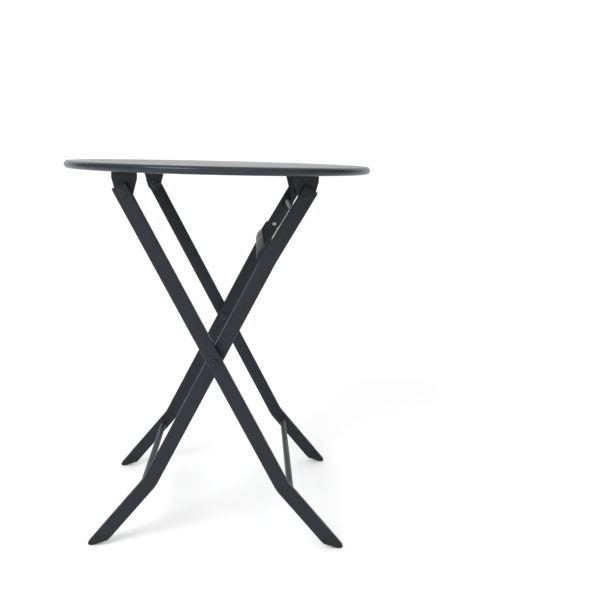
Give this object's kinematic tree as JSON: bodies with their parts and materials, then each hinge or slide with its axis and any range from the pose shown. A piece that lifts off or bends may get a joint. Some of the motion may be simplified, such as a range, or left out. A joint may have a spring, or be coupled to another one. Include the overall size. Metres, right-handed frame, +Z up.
{
  "type": "folding bistro table",
  "caption": "Round folding bistro table: flat steel top with rolled edge on two crossed flat-tube frames, spring-loaded lock lever.",
  "frame": {"origin": "on the floor under the middle of the table top", "axes": "+Z up, +X across the crossed legs from the hinged side of the top to the latched side, +Y along the crossbars"},
  "size_m": [0.595, 0.595, 0.725],
  "materials": {
    "top_coat": "graphite powder coat, satin, fine texture",
    "leg_coat": "graphite powder coat, satin, fine texture",
    "bracket_coat": "graphite powder coat on cut plate",
    "black_plastic": "moulded plastic, fine grain",
    "dark_steel": "dark coated steel fasteners",
    "bright_steel": "bare zinc-plated steel"
  },
  "bodies": {
    "outer_frame": {"outer_crossbar": "leg_coat", "outer_leg_near": "leg_coat", "outer_leg_far": "leg_coat", "outer_plug_near": "black_plastic", "outer_plug_far": "black_plastic", "outer_foot_near": "black_plastic", "outer_foot_far": "black_plastic", "hinge_bolt_near": "dark_steel", "hinge_bolt_far": "dark_steel", "hinge_nut_near": "dark_steel", "hinge_nut_far": "dark_steel", "hinge_washer_near": "black_plastic", "hinge_washer_far": "black_plastic", "cross_bolt_near": "dark_steel", "cross_bolt_far": "dark_steel", "cross_nut_near": "dark_steel", "cross_nut_far": "dark_steel", "cross_spacer_near": "black_plastic", "cross_spacer_far": "black_plastic"},
    "inner_frame": {"inner_crossbar": "leg_coat", "inner_leg_near": "leg_coat", "inner_leg_far": "leg_coat", "inner_plug_near": "black_plastic", "inner_plug_far": "black_plastic", "inner_foot_near": "black_plastic", "inner_foot_far": "black_plastic", "support_pin_near": "dark_steel", "support_pin_far": "dark_steel", "lever_rivet_near": "bright_steel", "lever_rivet_far": "bright_steel", "lever_spring_near": "bright_steel", "lever_spring_far": "bright_steel"},
    "tabletop": {"table_top": "top_coat", "left_rail": "bracket_coat", "right_rail": "bracket_coat", "left_ear_near": "bracket_coat", "left_ear_far": "bracket_coat", "right_ear_near": "bracket_coat", "right_ear_far": "bracket_coat", "catch_hook_near": "bracket_coat", "catch_hook_far": "bracket_coat"},
    "lock_lever": {"lever_arm_near": "bracket_coat", "lever_arm_far": "bracket_coat", "lever_grip": "bracket_coat", "lock_rod": "leg_coat"}
  },
  "joints": [
    {"name": "frame_fold", "type": "hinge", "parent": "outer_frame", "child": "inner_frame", "pos_m": [0, 0, 0.372], "axis": [0, -1, 0], "range_deg": [0, 50]},
    {"name": "top_tilt", "type": "hinge", "parent": "outer_frame", "child": "tabletop", "pos_m": [-0.15684, 0, 0.672], "axis": [0, -1, 0], "range_deg": [0, 118]},
    {"name": "lock_release", "type": "hinge", "parent": "inner_frame", "child": "lock_lever", "pos_m": [0.11369, 0, 0.59102], "axis": [0, -1, 0], "range_deg": [0, 12], "stiffness_Nm_per_rad": 0.8, "springref_deg": -17.19}
  ],
  "couplings": [
    {"joint": "top_tilt", "follows": "frame_fold", "ratio": 2.352}
  ]
}
